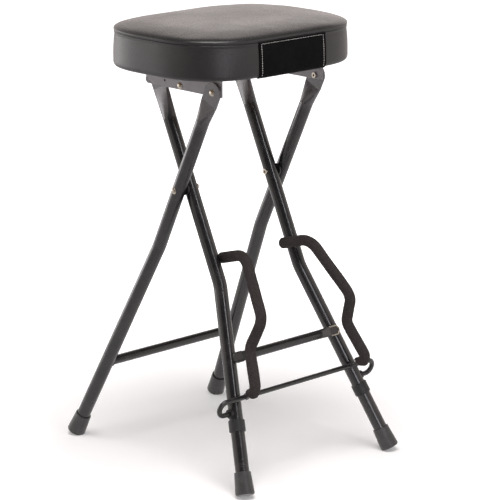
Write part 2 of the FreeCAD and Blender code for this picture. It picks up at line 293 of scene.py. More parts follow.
def makeMottle():
    # slow change from place to place, for tone and gloss
    group, given, result, place = makeGroup("mottle", ("Scale", "Low", "High"), ("Value",))
    cloud = softNoise(group, place, given["Scale"], 4.0, 0.6)[0]
    group.links.new(mapRange(group, cloud, 0.3, 0.7, given["Low"], given["High"]), result["Value"])
    return group


def makeEdgeWear():
    # broken lines of wear along edges, found from the rounded normal
    group, given, result, place = makeGroup("edgeWear", ("Radius", "Breakup", "Amount"), ("Mask",))
    rounded = addNode(group, "Bevel", {"Radius": given["Radius"]}, samples=4).outputs[0]
    plain = addNode(group, "NewGeometry").outputs["Normal"]
    edge = mapRange(group, vectorNode(group, "DOT_PRODUCT", rounded, plain)["Value"], 0.99, 0.88)
    broken = mapRange(group, softNoise(group, place, given["Breakup"], 3.0)[0], 0.42, 0.62)
    worn = mathNode(group, "MULTIPLY", edge, broken)
    group.links.new(mathNode(group, "MULTIPLY", worn, given["Amount"], clamp=True), result["Mask"])
    return group


def makeDust():
    # thin dust that settles in patches, heavier near the floor
    inputs = ("Scale", "Amount", "Floor Height", "Floor Amount")
    group, given, result, place = makeGroup("dust", inputs, ("Mask",))
    patches = mapRange(group, softNoise(group, place, given["Scale"], 6.0, 0.7)[0], 0.42, 0.75)
    low = mathNode(group, "DIVIDE", upPart(group, place), given["Floor Height"])
    nearFloor = mathNode(group, "SUBTRACT", 1.0, low, clamp=True)
    floorDust = mathNode(group, "MULTIPLY", nearFloor, given["Floor Amount"])
    everywhere = mathNode(group, "ADD", given["Amount"], floorDust)
    group.links.new(mathNode(group, "MULTIPLY", patches, everywhere, clamp=True), result["Mask"])
    return group


def makeSpeckle():
    # fine raised or sunken specks, for powder coat, rubber and foam skins
    group, given, result, place = makeGroup("speckle", ("Scale", "Sharpness"), ("Height", "Mask"))
    cells = addNode(group, "TexVoronoi", {"Vector": place, "Scale": given["Scale"]},
                    feature="SMOOTH_F1")
    rounds = mathNode(group, "MULTIPLY", cells.outputs["Distance"], given["Sharpness"])
    height = mathNode(group, "ADD", rounds, softNoise(group, place, given["Scale"], 2.0)[0])
    group.links.new(height, result["Height"])
    group.links.new(mapRange(group, height, 0.6, 0.85), result["Mask"])
    return group


def makeHideGrain():
    # pebbled hide pattern: raised pads with fine creases between them
    group, given, result, place = makeGroup("hideGrain", ("Scale", "Stretch"), ("Height", "Crease"))
    warp = softNoise(group, place, 180.0, 2.0)[1]
    bend = vectorNode(group, "MULTIPLY", warp, (0.0016, 0.0016, 0.0016))[0]
    bent = vectorNode(group, "ADD", place, bend)[0]
    pads = addNode(group, "TexVoronoi", {"Vector": bent, "Scale": given["Scale"]},
                   feature="DISTANCE_TO_EDGE")
    pad = mapRange(group, pads.outputs["Distance"], 0.0, given["Stretch"])
    pores = mathNode(group, "MULTIPLY", softNoise(group, place, 2600.0, 2.0)[0], 0.35)
    group.links.new(mathNode(group, "ADD", pad, pores), result["Height"])
    group.links.new(mathNode(group, "SUBTRACT", 1.0, pad, clamp=True), result["Crease"])
    return group


mottle = makeMottle()
edgeWear = makeEdgeWear()
dust = makeDust()
speckle = makeSpeckle()
hideGrain = makeHideGrain()


# Finishes

def startMaterial(name, values):
    material = bpy.data.materials.new(name)
    material.use_nodes = True
    tree = material.node_tree
    shader = tree.nodes["Principled BSDF"]
    for socket, value in values.items():
        shader.inputs[socket].default_value = value
    return material, tree, shader


def dress(tree, shader, colour, rough, height, distance, strength=1.0):
    bump = addNode(tree, "Bump", {"Height": height, "Distance": distance, "Strength": strength})
    tree.links.new(colour, shader.inputs["Base Color"])
    tree.links.new(rough, shader.inputs["Roughness"])
    tree.links.new(bump.outputs[0], shader.inputs["Normal"])


def layerMask(tree, kind, values, relief):
    # where a layer lies: settled dust, worn edges, marks of the relief, from a height up, or upright faces
    if kind == "dust":
        return useGroup(tree, dust, values)["Mask"]
    if kind == "wear":
        return useGroup(tree, edgeWear, values)["Mask"]
    if kind == "relief":
        return mathNode(tree, "MULTIPLY", relief[1], values)
    if kind == "height":
        return mapRange(tree, upPart(tree, objectPlace(tree)), *values)
    facing = addNode(tree, "TexCoord").outputs["Normal"]
    return mapRange(tree, upPart(tree, facing), *values, 1.0, 0.0)


def makeFinish(name, look):
    # tones: scale, reach, two colours; gloss: scale, least and most roughness; relief: group, values, depth
    # layers: kind, values, colour and added roughness, from the lowest up
    material, tree, shader = startMaterial(name, look["shader"])
    scale, reach, first, second = look["tones"]
    colour = mixColour(tree, useGroup(tree, mottle, (scale, 0.0, reach))["Value"], first, second)
    rough = useGroup(tree, mottle, look["gloss"])["Value"]
    group, values, *depth = look["relief"]
    relief = useGroup(tree, group, values)
    for kind, values, tint, roughening in look["layers"]:
        mask = layerMask(tree, kind, values, relief)
        if tint:
            colour = mixColour(tree, mask, colour, tint)
        if roughening:
            rough = mathNode(tree, "ADD", rough, mathNode(tree, "MULTIPLY", mask, roughening), clamp=True)
    dress(tree, shader, colour, rough, relief["Height"], *depth)
    return material


paintTones = {
    "black": (0.0056, 0.0052, 0.0055, 1),
    "faded": (0.0085, 0.0078, 0.0077, 1),
    "worn": (0.10, 0.098, 0.095, 1),
    "dusty": (0.09, 0.085, 0.08, 1),
    # painted sheen: lighter tone for the flattened tops
    "pressed": (0.064, 0.059, 0.064, 1),
}
# painted sheen: the brackets' tones are lifted to stand in for what their flat faces reflect
pressedTones = {
    "black": (0.115, 0.107, 0.117, 1),
    "faded": (0.145, 0.136, 0.146, 1),
    "worn": (0.16, 0.155, 0.15, 1),
    "dusty": (0.12, 0.115, 0.11, 1),
    "pressed": (0.135, 0.126, 0.137, 1),
}
pressedFrom = (0.550, 0.574)  # height from which the legs are flattened; the painted sheen on their flat tops starts here


def paintLook(tones, gloss, peelScale, peelHeight, wearAmount):
    # stoved black paint with a slight orange peel, edge wear and dust, and a lighter tone on the flattened
    # tops: painted sheen for the lamps they reflect
    return {
        "shader": {"IOR": 1.58},
        "tones": (14.0, 1.0, tones["black"], tones["faded"]),
        "gloss": (30.0, *gloss),
        "relief": (speckle, (peelScale, 0.4), peelHeight),
        "layers": (
            # painted sheen: the flattened tops are coloured lighter, standing in for their reflection of the
            # lamps
            ("height", pressedFrom, tones["pressed"], 0.0),
            ("dust", (45.0, 0.16, 0.10, 0.10), tones["dusty"], 0.8),
            ("wear", (0.0006, 260.0, wearAmount), tones["worn"], 0.0),
        ),
    }


rubberTones = {
    "dark": (0.036, 0.034, 0.035, 1),
    "light": (0.054, 0.052, 0.053, 1),
    "worn": (0.10, 0.098, 0.096, 1),
    "dusty": (0.14, 0.135, 0.125, 1),
}
plasticTones = {
    "dark": (0.012, 0.012, 0.0125, 1),
    "light": (0.018, 0.018, 0.0185, 1),
    "worn": (0.04, 0.04, 0.04, 1),
    "dusty": (0.10, 0.095, 0.09, 1),
}


def mattLook(tones, gloss, grainScale, grainHeight, floorDust):
    # rubber and moulded plastic: matt, faintly speckled, dusty near the floor
    return {
        "shader": {"IOR": 1.5, "Specular IOR Level": 0.4},
        "tones": (70.0, 1.0, tones["dark"], tones["light"]),
        "gloss": (90.0, *gloss),
        "relief": (speckle, (grainScale, 0.8), grainHeight),
        "layers": (
            ("wear", (0.0008, 400.0, 0.5), tones["worn"], 0.0),
            ("dust", (120.0, 0.12, 0.012, floorDust), tones["dusty"], 0.0),
        ),
    }


nickelLook = {
    "shader": {"Metallic": 1.0},
    "tones": (420.0, 1.0, (0.60, 0.55, 0.47, 1), (0.33, 0.29, 0.24, 1)),
    "gloss": (800.0, 0.24, 0.42),
    "relief": (speckle, (2600.0, 0.3), 0.00002),
    "layers": (("wear", (0.0008, 700.0, 0.7), (0.10, 0.085, 0.07, 1), 0.0),),
}
foamLook = {
    # closed-cell sleeve: matt skin with open pores and a brownish bloom
    "shader": {"IOR": 1.4, "Specular IOR Level": 0.25},
    "tones": (55.0, 1.0, (0.074, 0.060, 0.060, 1), (0.108, 0.089, 0.088, 1)),
    "gloss": (60.0, 0.82, 0.95),
    "relief": (speckle, (1100.0, 1.2), 0.0003),
    "layers": (
        ("relief", 1.0, (0.030, 0.025, 0.024, 1), 0.0),
        ("dust", (160.0, 0.06, 0.02, 0.0), rubberTones["dusty"], 0.0),
    ),
}
vinylLook = {
    # grained seat cover: satin, darker in the creases of the grain, sat smooth on top and duller at the sides
    "shader": {"IOR": 1.52, "Sheen Weight": 0.12, "Sheen Roughness": 0.3, "Sheen Tint": (1.0, 0.86, 0.8, 1)},
    "tones": (9.0, 1.0, (0.0105, 0.0096, 0.0098, 1), (0.0155, 0.0142, 0.0139, 1)),
    "gloss": (12.0, 0.20, 0.26),
    "relief": (hideGrain, (620.0, 0.3), 0.00009, 0.7),
    "layers": (
        ("relief", 0.5, (0.0065, 0.0060, 0.0060, 1), 0.24),
        ("dust", (30.0, 0.03, 0.02, 0.0), (0.11, 0.10, 0.095, 1), 0.0),
        ("upright", (0.15, 0.75), None, 0.13),
    ),
}
suedeLook = {
    # short nap, brushed in soft streaks
    "shader": {"Specular IOR Level": 0.08, "Sheen Weight": 0.03, "Sheen Roughness": 0.5},
    "tones": (38.0, 1.0, (0.0014, 0.0013, 0.0014, 1), (0.0036, 0.0033, 0.0034, 1)),
    "gloss": (80.0, 0.88, 1.0),
    "relief": (speckle, (2200.0, 0.9), 0.00015),
    "layers": (),
}
threadLook = {
    "shader": {"Sheen Weight": 0.2, "Specular IOR Level": 0.3},
    "tones": (260.0, 0.8, (0.72, 0.70, 0.67, 1), (0.42, 0.40, 0.37, 1)),
    "gloss": (300.0, 0.6, 0.8),
    "relief": (speckle, (4200.0, 0.5), 0.00008),
    "layers": (),
}
boardLook = {
    "pale": (0.50, 0.35, 0.21, 1),
    "dark": (0.30, 0.19, 0.10, 1),
    "drawn": (6.0, 90.0, 750.0),  # long grain on the faces, plies on the edge
    "gloss": (60.0, 0.6, 0.8),
}


def makeBoard():
    material, tree, shader = startMaterial("boardPly", {"Specular IOR Level": 0.3})
    drawn = addNode(tree, "Mapping", {"Vector": objectPlace(tree), "Scale": boardLook["drawn"]})
    grain = addNode(tree, "TexNoise", {"Vector": drawn.outputs[0], "Scale": 1.6, "Detail": 5.0,
                                                 "Distortion": 0.6}).outputs[0]
    tone = useGroup(tree, mottle, (18.0, 0.6, 1.0))["Value"]
    share = mathNode(tree, "MULTIPLY", mapRange(tree, grain, 0.35, 0.68), tone)
    colour = mixColour(tree, share, boardLook["pale"], boardLook["dark"])
    dress(tree, shader, colour, useGroup(tree, mottle, boardLook["gloss"])["Value"], grain, 0.0002)
    return material


finishes = {
    "black_paint": makeFinish("framePaint", paintLook(paintTones, (0.17, 0.22), 700.0, 0.000005, 0.25)),
    "black_wire": makeFinish("cradlePaint", paintLook(paintTones, (0.24, 0.32), 900.0, 0.00001, 0.35)),
    "nickel": makeFinish("dullNickel", nickelLook),
    "washer_plastic": makeFinish("collarPlastic", mattLook(plasticTones, (0.42, 0.55), 1500.0, 0.00004, 0.0)),
    "foot_rubber": makeFinish("footRubber", mattLook(rubberTones, (0.36, 0.48), 1300.0, 0.00005, 0.5)),
    "grip_foam": makeFinish("sleeveFoam", foamLook),
    "seat_vinyl": makeFinish("seatVinyl", vinylLook),
    "patch_suede": makeFinish("patchSuede", suedeLook),
    "board_wood": makeBoard(),
}
threadMaterial = makeFinish("patchThread", threadLook)
for part in frame["record"]["subparts"]:
    frame["nodes"][part["node"]].data.materials[0] = finishes[part["material_slot"]]
# the brackets' paint is coloured lighter and greyer than the tubes': painted sheen for the lamps their flat
# faces reflect
pressedPaint = makeFinish("pressedPaint", paintLook(pressedTones, (0.30, 0.38), 500.0, 0.00002, 0.4))
for side in ("left", "right"):
    frame["nodes"]["seat_bracket_" + side].data.materials[0] = pressedPaint


# Seat cushion: a grained cover with a seam between its crown and its side band, swelled by cloth simulation

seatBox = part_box("seat_cushion")
seat = {
    "width": seatBox[1].x - seatBox[0].x,
    "depth": seatBox[1].y - seatBox[0].y,
    "middleY": (seatBox[0].y + seatBox[1].y) / 2,
    "bottom": seatBox[0].z,
    "corner": 0.0945,
    "cornerEase": 0.035,  # share of the outline over which a corner runs into the sides
    "easeSteps": 9,
    "hem": (0.005, 0.0075),  # how far the band turns under, and from what height
    "waist": (0.0024, 0.0505),  # drawn in under the seam, and at what height
    "bandFullness": 2.6,
    "seam": (0.0015, 0.0553),
    "crown": 0.0131,
    "crownReach": 0.080,
    "crownFullness": 3.8,  # 2 is an ellipse, more is fuller at the shoulders
    "middleHalf": 0.004,  # the rings end this far from the middle line
    "profileSteps": (24, 60, 20, 120, 8),
    "slack": 0.0018,  # the crown starts this much lower, and the simulation fills it
    "slackRun": 0.35,
    "quickRise": 1.3,  # share of the slack that is filled without the simulation
    "columns": 96,
    "bandLevels": 9,
    "crownLevels": 22,
    "held": {0: 1.0, 1: 0.9, 7: 0.9, 8: 1.0},
    "heldBand": 0.55,
    "frames": 20,
    "cloth": {
        "quality": 6,
        "mass": 0.3,
        "tension_stiffness": 25,
        "compression_stiffness": 25,
        "bending_stiffness": 6,
        "use_pressure": True,
        "uniform_pressure_force": 4.0,
        "vertex_group_mass": "held",
        "pin_stiffness": 1.0,
    },
    "capCrown": 0.0055,
    "capBand": 0.0012,
    "fineColumns": 320,
    "hemRows": (0.009, 7),  # up to this height, and how many
    "bandRows": 18,
    "foldRows": (0.0165, 0.0075, 10),  # under the seam: from, to, and how many
    "seamRows": (0.4, 0.8, 1.2, 1.6, 2.1, 2.7, 3.4, 4.2, 5.2, 6.5),  # beside it, in millimetres
    "crownRows": 36,
    "seamGroove": (0.0012, 0.0008),  # depth, half width
    # rolls beside the seam: height, place, half width
    "rolls": ((0.0008, 0.0042, 0.0026), (0.0003, -0.0032, 0.0018)),
    "gather": {"height": 0.00022, "pitch": 0.0042, "start": 0.0055, "middle": 0.0095, "reach": 0.005},
    "dents": ((22, 0.5), (55, 0.2)),  # scale, share
    "dentDepth": (0.0002, 0.0006),  # everywhere, and more on the crown
    "dentRun": 0.03,
    "coverUnder": 0.021,  # cover turned under the board
    "coverThickness": 0.0007,
    "boardInside": 0.006,
    "pleat": 0.0005,
}


def roundedRing(inset, fractions):
    # points of the outline at an inset, at shares of its length from the middle of the front, going right
    inset = np.asarray(inset, float)
    halfWidth = seat["width"] / 2 - inset
    halfDepth = seat["depth"] / 2 - inset
    corner = np.maximum(seat["corner"] - inset, np.minimum(halfWidth, halfDepth) / 3)
    front = halfWidth - corner
    side = halfDepth - corner
    quarter = front + corner * pi / 2 + side
    whole = (np.asarray(fractions, float) % 1.0) * 4
    turn = np.floor(whole)
    along = (whole - turn) * quarter
    along = np.where(turn % 2 == 1, quarter - along, along)
    bend = np.clip((along - front) / corner, 0, pi / 2)
    x = np.where(along < front, along, front + corner * np.sin(bend))
    y = np.where(along < front + corner * pi / 2, -side - corner * np.cos(bend),
                 -side + along - front - corner * pi / 2)
    x = np.where(turn >= 2, -x, x)
    y = np.where((turn == 1) | (turn == 2), -y, y)
    return x, y + seat["middleY"], 4 * quarter


def seatRing(inset, fractions):
    # the same outline with its corners eased into the sides, as a stretched cover runs
    shifts = np.linspace(-1, 1, seat["easeSteps"]) * seat["cornerEase"]
    rings = [roundedRing(inset, np.asarray(fractions, float) + shift)[:2] for shift in shifts]
    return np.mean([x for x, y in rings], axis=0), np.mean([y for x, y in rings], axis=0)


def seatProfile():
    # inset, height and length of the cover from its lower edge up over the crown, and the seam's place on it
    hemIn, hemUp = seat["hem"]
    waistIn, waistUp = seat["waist"]
    seamIn, seamUp = seat["seam"]
    crown = seat["crown"]
    crownIn = seat["crownReach"]
    hemSteps, bandSteps, waistSteps, crownSteps, flatSteps = seat["profileSteps"]
    angle = np.linspace(0, pi / 2, hemSteps)
    insets = list(hemIn * (1 - np.sin(angle)))
    heights = list(hemUp * (1 - np.cos(angle)))
    up = np.linspace(0, 1, bandSteps)[1:]
    insets += list(waistIn * up ** seat["bandFullness"])
    heights += list(hemUp + (waistUp - hemUp) * up)
    up = np.linspace(0, 1, waistSteps)[1:]
    insets += list(waistIn + (seamIn - waistIn) * (1 - np.cos(pi * up)) / 2)
    heights += list(waistUp + (seamUp - waistUp) * up)
    seamPoint = len(insets) - 1
    full = 2 / seat["crownFullness"]
    angle = np.linspace(0, pi / 2, crownSteps)[1:]
    insets += list(seamIn + (crownIn - seamIn) * (1 - np.cos(angle) ** full))
    heights += list(seamUp + crown * np.sin(angle) ** full)
    insets += list(np.linspace(crownIn, seat["depth"] / 2 - seat["middleHalf"], flatSteps)[1:])
    heights += [seamUp + crown] * (flatSteps - 1)
    lengths = np.concatenate(([0], np.cumsum(np.hypot(np.diff(insets), np.diff(heights)))))
    return np.array(insets), np.array(heights), lengths, float(lengths[seamPoint])


coverInset, coverHeight, coverLength, seamAt = seatProfile()
coverEnd = float(coverLength[-1])


def plainCover(lengths, fractions):
    # the cover before it swells, at lengths up the profile and shares round the seat
    lengths, fractions = np.broadcast_arrays(np.asarray(lengths, float), np.asarray(fractions, float))
    x, y = seatRing(np.interp(lengths, coverLength, coverInset), fractions)
    height = np.interp(lengths, coverLength, coverHeight)
    return np.stack((x, y, seat["bottom"] + height), axis=-1)


def crownShare(lengths):
    # 0 at the seam and below it, 1 at the middle of the seat
    return np.clip((lengths - seamAt) / (coverEnd - seamAt), 0, 1)


def slackAt(lengths):
    filled = np.clip(crownShare(lengths) / seat["slackRun"], 0, 1)
    return seat["slack"] * np.sin(filled * pi / 2)


def closeTop(first, count):
    # quads across the last ring, from the front half to the back half
    faces = []
    half = count // 2
    quarter = count // 4
    for step in range(-quarter, quarter):
        corners = (step, step + 1, half - step - 1, half - step)
        faces.append(tuple(dict.fromkeys(first + corner % count for corner in corners)))
    return faces


def swellCover():
    # pressure fills the slack of the cover; the result is how far each point of a coarse grid moves
    count = seat["columns"]
    bandLevels = seat["bandLevels"]
    levels = np.concatenate((np.linspace(0, seamAt, bandLevels),
                             np.linspace(seamAt, coverEnd, seat["crownLevels"])[1:]))
    fractions = np.arange(count) / count
    grid = plainCover(levels[:, None], fractions[None, :])
    slack = slackAt(levels)
    grid[:, :, 2] -= slack[:, None]
    points = grid.reshape(-1, 3)
    faces = ringFaces(len(levels), count) + closeTop((len(levels) - 1) * count, count)
    bottomPoint = len(points)
    points = np.vstack((points, (0, seat["middleY"], seat["bottom"])))
    faces += [(bottomPoint, (side + 1) % count, side) for side in range(count)]
    pad = makePiece("swelling", points, faces)
    held = pad.vertex_groups.new(name="held")
    for level in range(bandLevels):
        weight = seat["held"].get(level, seat["heldBand"])
        held.add(list(range(level * count, (level + 1) * count)), weight, "REPLACE")
    held.add([bottomPoint], 1.0, "REPLACE")
    cloth = pad.modifiers.new("Cloth", "CLOTH")
    for name, value in seat["cloth"].items():
        setattr(cloth.settings, name, value)
    cloth.settings.effector_weights.gravity = 0
    cloth.collision_settings.use_collision = False
    cloth.point_cache.frame_start = 1
    cloth.point_cache.frame_end = seat["frames"]
    for step in range(1, seat["frames"] + 1):
        bpy.context.scene.frame_set(step)
    bpy.context.view_layer.update()
    swelled = pad.evaluated_get(bpy.context.evaluated_depsgraph_get()).data
    after = np.zeros(len(points) * 3)
    swelled.vertices.foreach_get("co", after)
    bpy.context.scene.frame_set(1)
    move = after.reshape(-1, 3)[:-1].reshape(grid.shape) - grid
    bpy.data.objects.remove(pad)
    return levels, move


def settleCover(levels, move):
    # cap the moves, smooth them round the seat, and add them to the slack that was taken off
    fade = np.clip(crownShare(levels)[:, None] / 0.2, 0, 1)
    cap = seat["capBand"] + (seat["capCrown"] - seat["capBand"]) * fade
    size = np.linalg.norm(move, axis=2)
    move = move * (cap * np.tanh(size / cap) / np.maximum(size, 1e-9))[:, :, None]
    for _ in range(3):
        move = (np.roll(move, 1, axis=1) + 2 * move + np.roll(move, -1, axis=1)) / 4
        move[1:-1] = (move[:-2] + 2 * move[1:-1] + move[2:]) / 4
    move[:, :, 2] -= slackAt(levels)[:, None]
    return move


coverLevels, coverMove = swellCover()
coverMove = settleCover(coverLevels, coverMove)
print("cover swelled: highest move", round(float(np.abs(coverMove[:, :, 2]).max()) * 1000, 2), "mm,",
      "top at", round(float(seat["bottom"] + coverHeight[-1] + coverMove[-1, :, 2].mean()), 4))


def betweenSteps(place):
    # the step below a place, and the smoothed share of the way to the next
    low = np.floor(place).astype(int)
    share = (place - low)[..., None]
    return low, share * share * (3 - 2 * share)


def swelledCover(lengths, fractions):
    # the cover after it swells: the plain form plus the grid of moves, read smoothly
    lengths, fractions = np.broadcast_arrays(np.asarray(lengths, float), np.asarray(fractions, float))
    count = seat["columns"]
    top = len(coverLevels) - 1
    low, rise = betweenSteps(np.interp(lengths, coverLevels, np.arange(top + 1)))
    left, over = betweenSteps((fractions % 1.0) * count)
    high = np.minimum(low + 1, top)
    left = left % count
    right = (left + 1) % count
    below = coverMove[low, left] * (1 - over) + coverMove[low, right] * over
    above = coverMove[high, left] * (1 - over) + coverMove[high, right] * over
    return plainCover(lengths, fractions) + below * (1 - rise) + above * rise


def coverNormals(lengths, fractions, step=0.0006):
    up = swelledCover(np.minimum(lengths + step, coverEnd), fractions)
    down = swelledCover(np.maximum(lengths - step, 0), fractions)
    right = swelledCover(lengths, fractions + step)
    left = swelledCover(lengths, fractions - step)
    normals = np.cross(right - left, up - down)
    return normals / np.maximum(np.linalg.norm(normals, axis=-1, keepdims=True), 1e-12)


def cornerShare(fractions):
    # 1 in the middle of each rounded corner, 0 along the straight sides
    x, y = seatRing(0.0, fractions)
    along = np.abs(y - seat["middleY"]) - (seat["depth"] / 2 - seat["corner"])
    across = np.abs(x) - (seat["width"] / 2 - seat["corner"])
    bend = np.arctan2(np.maximum(along, 0), np.maximum(across, 1e-6))
    return np.where((along > 0) & (across > 0), np.sin(2 * bend), 0.0)


def stitchedCover(lengths, fractions):
    # the swelled cover with its seam, the rolls beside it, gathers at the corners and soft dents
    points = swelledCover(lengths, fractions)
    normals = coverNormals(lengths, fractions)
    depth, half = seat["seamGroove"]
    offset = lengths - seamAt
    lift = -depth * np.exp(-(offset / half) ** 2)
    for height, place, width in seat["rolls"]:
        lift = lift + height * np.exp(-((offset - place) / width) ** 2)
    gather = seat["gather"]
    wander = 3 * np.sin(fractions * 40 * pi)
    fold = np.cos((offset + gather["start"]) * 2 * pi / gather["pitch"] + wander)
    reach = np.exp(-((offset + gather["middle"]) / gather["reach"]) ** 2)
    lift = lift + gather["height"] * cornerShare(fractions) * fold * reach
    dents = np.array([sum(share * noise.noise(Vector(p) * scale) for scale, share in seat["dents"])
                      for p in points.reshape(-1, 3)])
    everywhere, onCrown = seat["dentDepth"]
    crown = np.clip(offset / seat["dentRun"], 0, 1)
    lift = lift + (everywhere + onCrown * crown) * dents.reshape(lift.shape)
    return points + normals * lift[..., None]


def makeCushion():
    count = seat["fineColumns"]
    beside = np.array(seat["seamRows"]) / 1000
    nearSeam = seamAt + np.concatenate((-beside[::-1], (0.0,), beside))
    hemTop, hemRows = seat["hemRows"]
    foldLow, foldHigh, foldRows = seat["foldRows"]
    band = np.concatenate((np.linspace(0, hemTop, hemRows),
                           np.linspace(hemTop, seamAt - foldHigh, seat["bandRows"])[1:]))
    fold = np.linspace(seamAt - foldLow, seamAt - foldHigh, foldRows)
    band = np.unique(np.round(np.concatenate((band[band < fold[0] - 0.0003], fold)), 6))
    shares = np.linspace(0, 1, seat["crownRows"])[1:]
    crown = seamAt + beside[-1] + (coverEnd - seamAt - beside[-1]) * shares
    fractions = np.arange(count) / count
    lengths, shares = np.meshgrid(np.concatenate((band, nearSeam, crown)), fractions, indexing="ij")
    skin = stitchedCover(lengths, shares)
    hemIn = seat["hem"][0]
    turned = seat["coverUnder"]
    thick = seat["coverThickness"]
    pleat = seat["pleat"] * cornerShare(fractions) * np.sin(fractions * count * 2 * pi / 7)
    under = []
    for inset, drop in ((turned, -seat["boardInside"]), (turned, 0.0002), (turned - 0.0006, thick),
                        (0.016, thick), (0.012, thick), (0.0085, thick * 0.8)):
        x, y = seatRing(np.full(count, inset), fractions)
        ripple = np.clip(drop / thick, 0, 1) * pleat * (inset - hemIn) / 0.016
        under.append(np.stack((x, y, seat["bottom"] - drop - np.abs(ripple)), axis=-1))
    rings = np.concatenate((np.array(under), skin))
    faces = ringFaces(len(rings), count) + closeTop((len(rings) - 1) * count, count)
    faces += [tuple(reversed(face)) for face in closeTop(0, count)]
    return makePiece("seatCover", rings.reshape(-1, 3), faces)


seatCover = mount(makeCushion(), "seat", "seat_vinyl")
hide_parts("seat_cushion")
print("seat cover:", len(seatCover.data.vertices), "points")


# Suede patch on the front of the band, and its stitching

patch = {
    "halfWidth": 0.072,
    "top": 0.0003,  # below the seam
    "under": 0.0,  # from the lower edge of the band
    "thickness": 0.0012,
    "standOff": 0.0003,
    "tuck": 0.0004,  # its back lies this deep in the band
    "edge": 0.0012,  # roll of the cut edge
    "nap": (160, 0.00012),  # scale, height
    "stitchIn": 0.0058,  # stitch rows, in from the side edges
    "stitchDown": 0.0028,  # and down from the top edge
    "stitchSink": 0.00045,
    "sinkWidth": 0.0009,
    "stitchPitch": 0.0036,
    "stitchLength": 0.0027,
    "stitchEnd": 0.004,  # the side rows end this far above the lower edge
    "threadRadius": 0.00043,
    "columns": 96,
    "rows": 44,
}
patchTop = seamAt - patch["top"]


def patchPlace(x, length):
    # point and outward normal of the band under a place on the patch
    inset = np.interp(length, coverLength, coverInset)
    shares = x / roundedRing(inset, np.zeros_like(inset))[2]
    return swelledCover(length, shares), coverNormals(length, shares)


def patchLift(x, length):
    # how far the patch stands off the band: rolled edges, sunk along the stitch rows
    fromSide = patch["halfWidth"] - np.abs(x)
    fromTop = patchTop - length
    roll = np.clip(np.minimum(fromSide, fromTop) / patch["edge"], 0, 1)
    lift = patch["thickness"] * np.sqrt(np.clip(1 - (1 - roll) ** 2, 0, 1))
    inward = fromSide - patch["stitchIn"]
    row = np.minimum(np.abs(inward), np.where(inward > 0, np.abs(fromTop - patch["stitchDown"]), 1))
    sink = patch["stitchSink"] * np.exp(-(row / patch["sinkWidth"]) ** 2)
    return lift - sink + patch["standOff"]


def makePatch():
    half = patch["halfWidth"]
    edge = np.array((0, 0.1, 0.3, 0.6, 1.0)) * patch["edge"]
    sideRow = patch["stitchIn"] + np.array((-1.6, -0.8, 0, 0.8, 1.6)) / 1000
    left = np.concatenate((edge, (0.0028,), sideRow)) - half
    inner = np.linspace(-half + 0.010, half - 0.010, patch["columns"])
    columns = np.concatenate((left, inner, -left[::-1]))
    topRow = patch["stitchDown"] + np.array((-1.2, -0.6, 0, 0.6, 1.2)) / 1000
    below = np.linspace(patchTop - 0.0055, patch["under"], patch["rows"])
    rows = np.sort(np.concatenate((patchTop - edge, patchTop - topRow, below)))
    lengths, across = np.meshgrid(rows, columns, indexing="ij")
    points, normals = patchPlace(across, lengths)
    napScale, napHeight = patch["nap"]
    nap = np.array([noise.noise(Vector(p) * napScale) for p in points.reshape(-1, 3)]).reshape(lengths.shape)
    front = points + normals * (patchLift(across, lengths) + napHeight * nap)[..., None]
    back = points - normals * patch["tuck"]
    rowCount, columnCount = lengths.shape
    size = rowCount * columnCount
    faces = []
    for row in range(rowCount - 1):
        for here in range(row * columnCount, (row + 1) * columnCount - 1):
            faces.append((here, here + 1, here + columnCount + 1, here + columnCount))
    faces += [tuple(size + i for i in reversed(face)) for face in faces]
    places = np.arange(size).reshape(rowCount, columnCount)
    rim = [*places[0], *places[1:, -1], *places[-1, -2::-1], *places[-2:0:-1, 0]]
    rim = [int(place) for place in rim]
    for here, after in zip(rim, rim[1:] + rim[:1]):
        faces.append((after, here, size + here, size + after))
    return makePiece("suedePatch", np.concatenate((front.reshape(-1, 3), back.reshape(-1, 3))), faces)


def threadStitch(start, end, normal, radius, sides=8, steps=7):
    # one stitch: a short plump thread that dips into the suede at both ends
    run = end - start
    across = unit(np.cross(run, normal))
    points = []
    for share in np.linspace(0, 1, steps):
        arch = abs(sin(pi * share))
        size = radius * (0.45 + 0.55 * arch ** 0.5)
        centre = start + run * share + normal * (radius * (1.1 * arch ** 0.6 - 0.55))
        points += circle(centre, across, normal, size, sides)
    faces = ringFaces(steps, sides)
    faces.append(tuple(range(sides)))
    faces.append(tuple(reversed(range((steps - 1) * sides, steps * sides))))
    return points, faces


def makeStitches():
    side = patch["halfWidth"] - patch["stitchIn"]
    pitch = patch["stitchPitch"]
    long = patch["stitchLength"]
    rowTop = patchTop - patch["stitchDown"]
    runs = []
    for x in (-side, side):
        for index in range(int((rowTop - patch["stitchEnd"]) / pitch)):
            high = rowTop - index * pitch
            runs.append(((x, x), (high, high - long)))
    count = int(2 * side / pitch)
    for index in range(count):
        left = (index - count / 2) * pitch
        runs.append(((left, left + long), (rowTop, rowTop)))
    parts = []
    for xs, lengths in np.array(runs):
        points, normals = patchPlace(xs, lengths)
        points = points + normals * patchLift(xs, lengths)[:, None]
        parts.append(threadStitch(points[0], points[1], normals.mean(axis=0), patch["threadRadius"]))
    return makePiece("patchStitching", *joinParts(parts))


suedePatch = mount(makePatch(), "seat", "patch_suede")
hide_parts("front_patch")
stitching = makeStitches()
stitching.data.materials.append(threadMaterial)
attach(stitching, "seat")
print("patch:", len(suedePatch.data.vertices), "points, stitching:", len(stitching.data.vertices))


# Foam sleeves on the cradle arms

